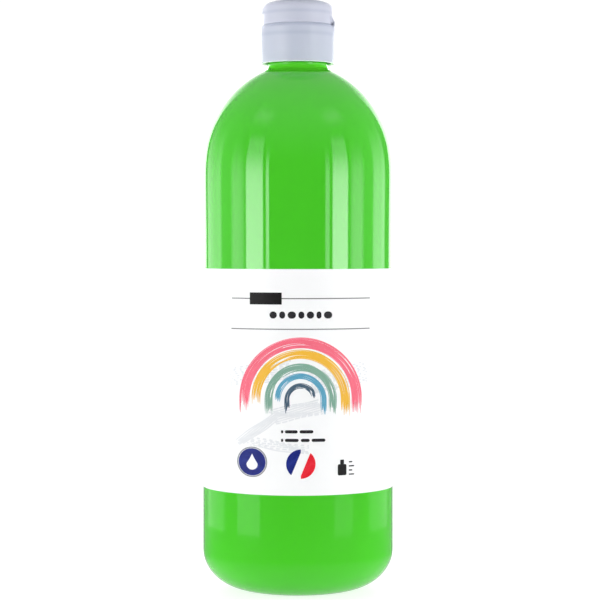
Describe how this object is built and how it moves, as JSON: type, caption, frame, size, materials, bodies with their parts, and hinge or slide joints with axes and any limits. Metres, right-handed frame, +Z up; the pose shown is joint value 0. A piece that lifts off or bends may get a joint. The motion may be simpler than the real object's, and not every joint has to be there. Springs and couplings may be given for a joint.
{
  "type": "squeeze paint bottle",
  "caption": "Round clear squeeze bottle of green poster paint with a wrap-round label, a screw neck and a translucent flip-top dispensing cap on a living hinge.",
  "frame": {"origin": "centre of the base on the surface the bottle stands on", "axes": "+Z up along the bottle's axis, -Y towards the label's front, +X towards the lid's hinge and -X towards its thumb lip"},
  "size_m": [0.0818, 0.0818, 0.2499],
  "materials": {
    "clear_bottle": "polished",
    "green_paint": "gloss",
    "label_film": "satin",
    "foam_washer": "matte",
    "cap_plastic": "satin",
    "lid_plastic": "satin"
  },
  "bodies": {
    "bottle": {"bottle_body": "clear_bottle", "paint_fill": "green_paint", "wrap_label": "label_film"},
    "washer": {"seal_washer": "foam_washer"},
    "cap": {"cap_base": "cap_plastic", "hinge_film_front": "cap_plastic", "hinge_film_back": "cap_plastic"},
    "lid": {"flip_lid": "lid_plastic"}
  },
  "joints": [
    {"name": "cap_rise", "type": "slide", "parent": "bottle", "child": "washer", "axis": [0, 0, 1], "range_m": [0, 0.0169]},
    {"name": "cap_turn", "type": "hinge", "parent": "washer", "child": "cap", "pos_m": [0, 0, 0.2231], "axis": [0, 0, 1], "range_deg": [0, 1440]},
    {"name": "lid_flip", "type": "hinge", "parent": "cap", "child": "lid", "pos_m": [0.0155, 0, 0.2397], "axis": [0, 1, 0], "range_deg": [0, 150]}
  ],
  "couplings": [
    {"joint": "cap_turn", "follows": "cap_rise", "rad_per_m": 1484.2}
  ]
}
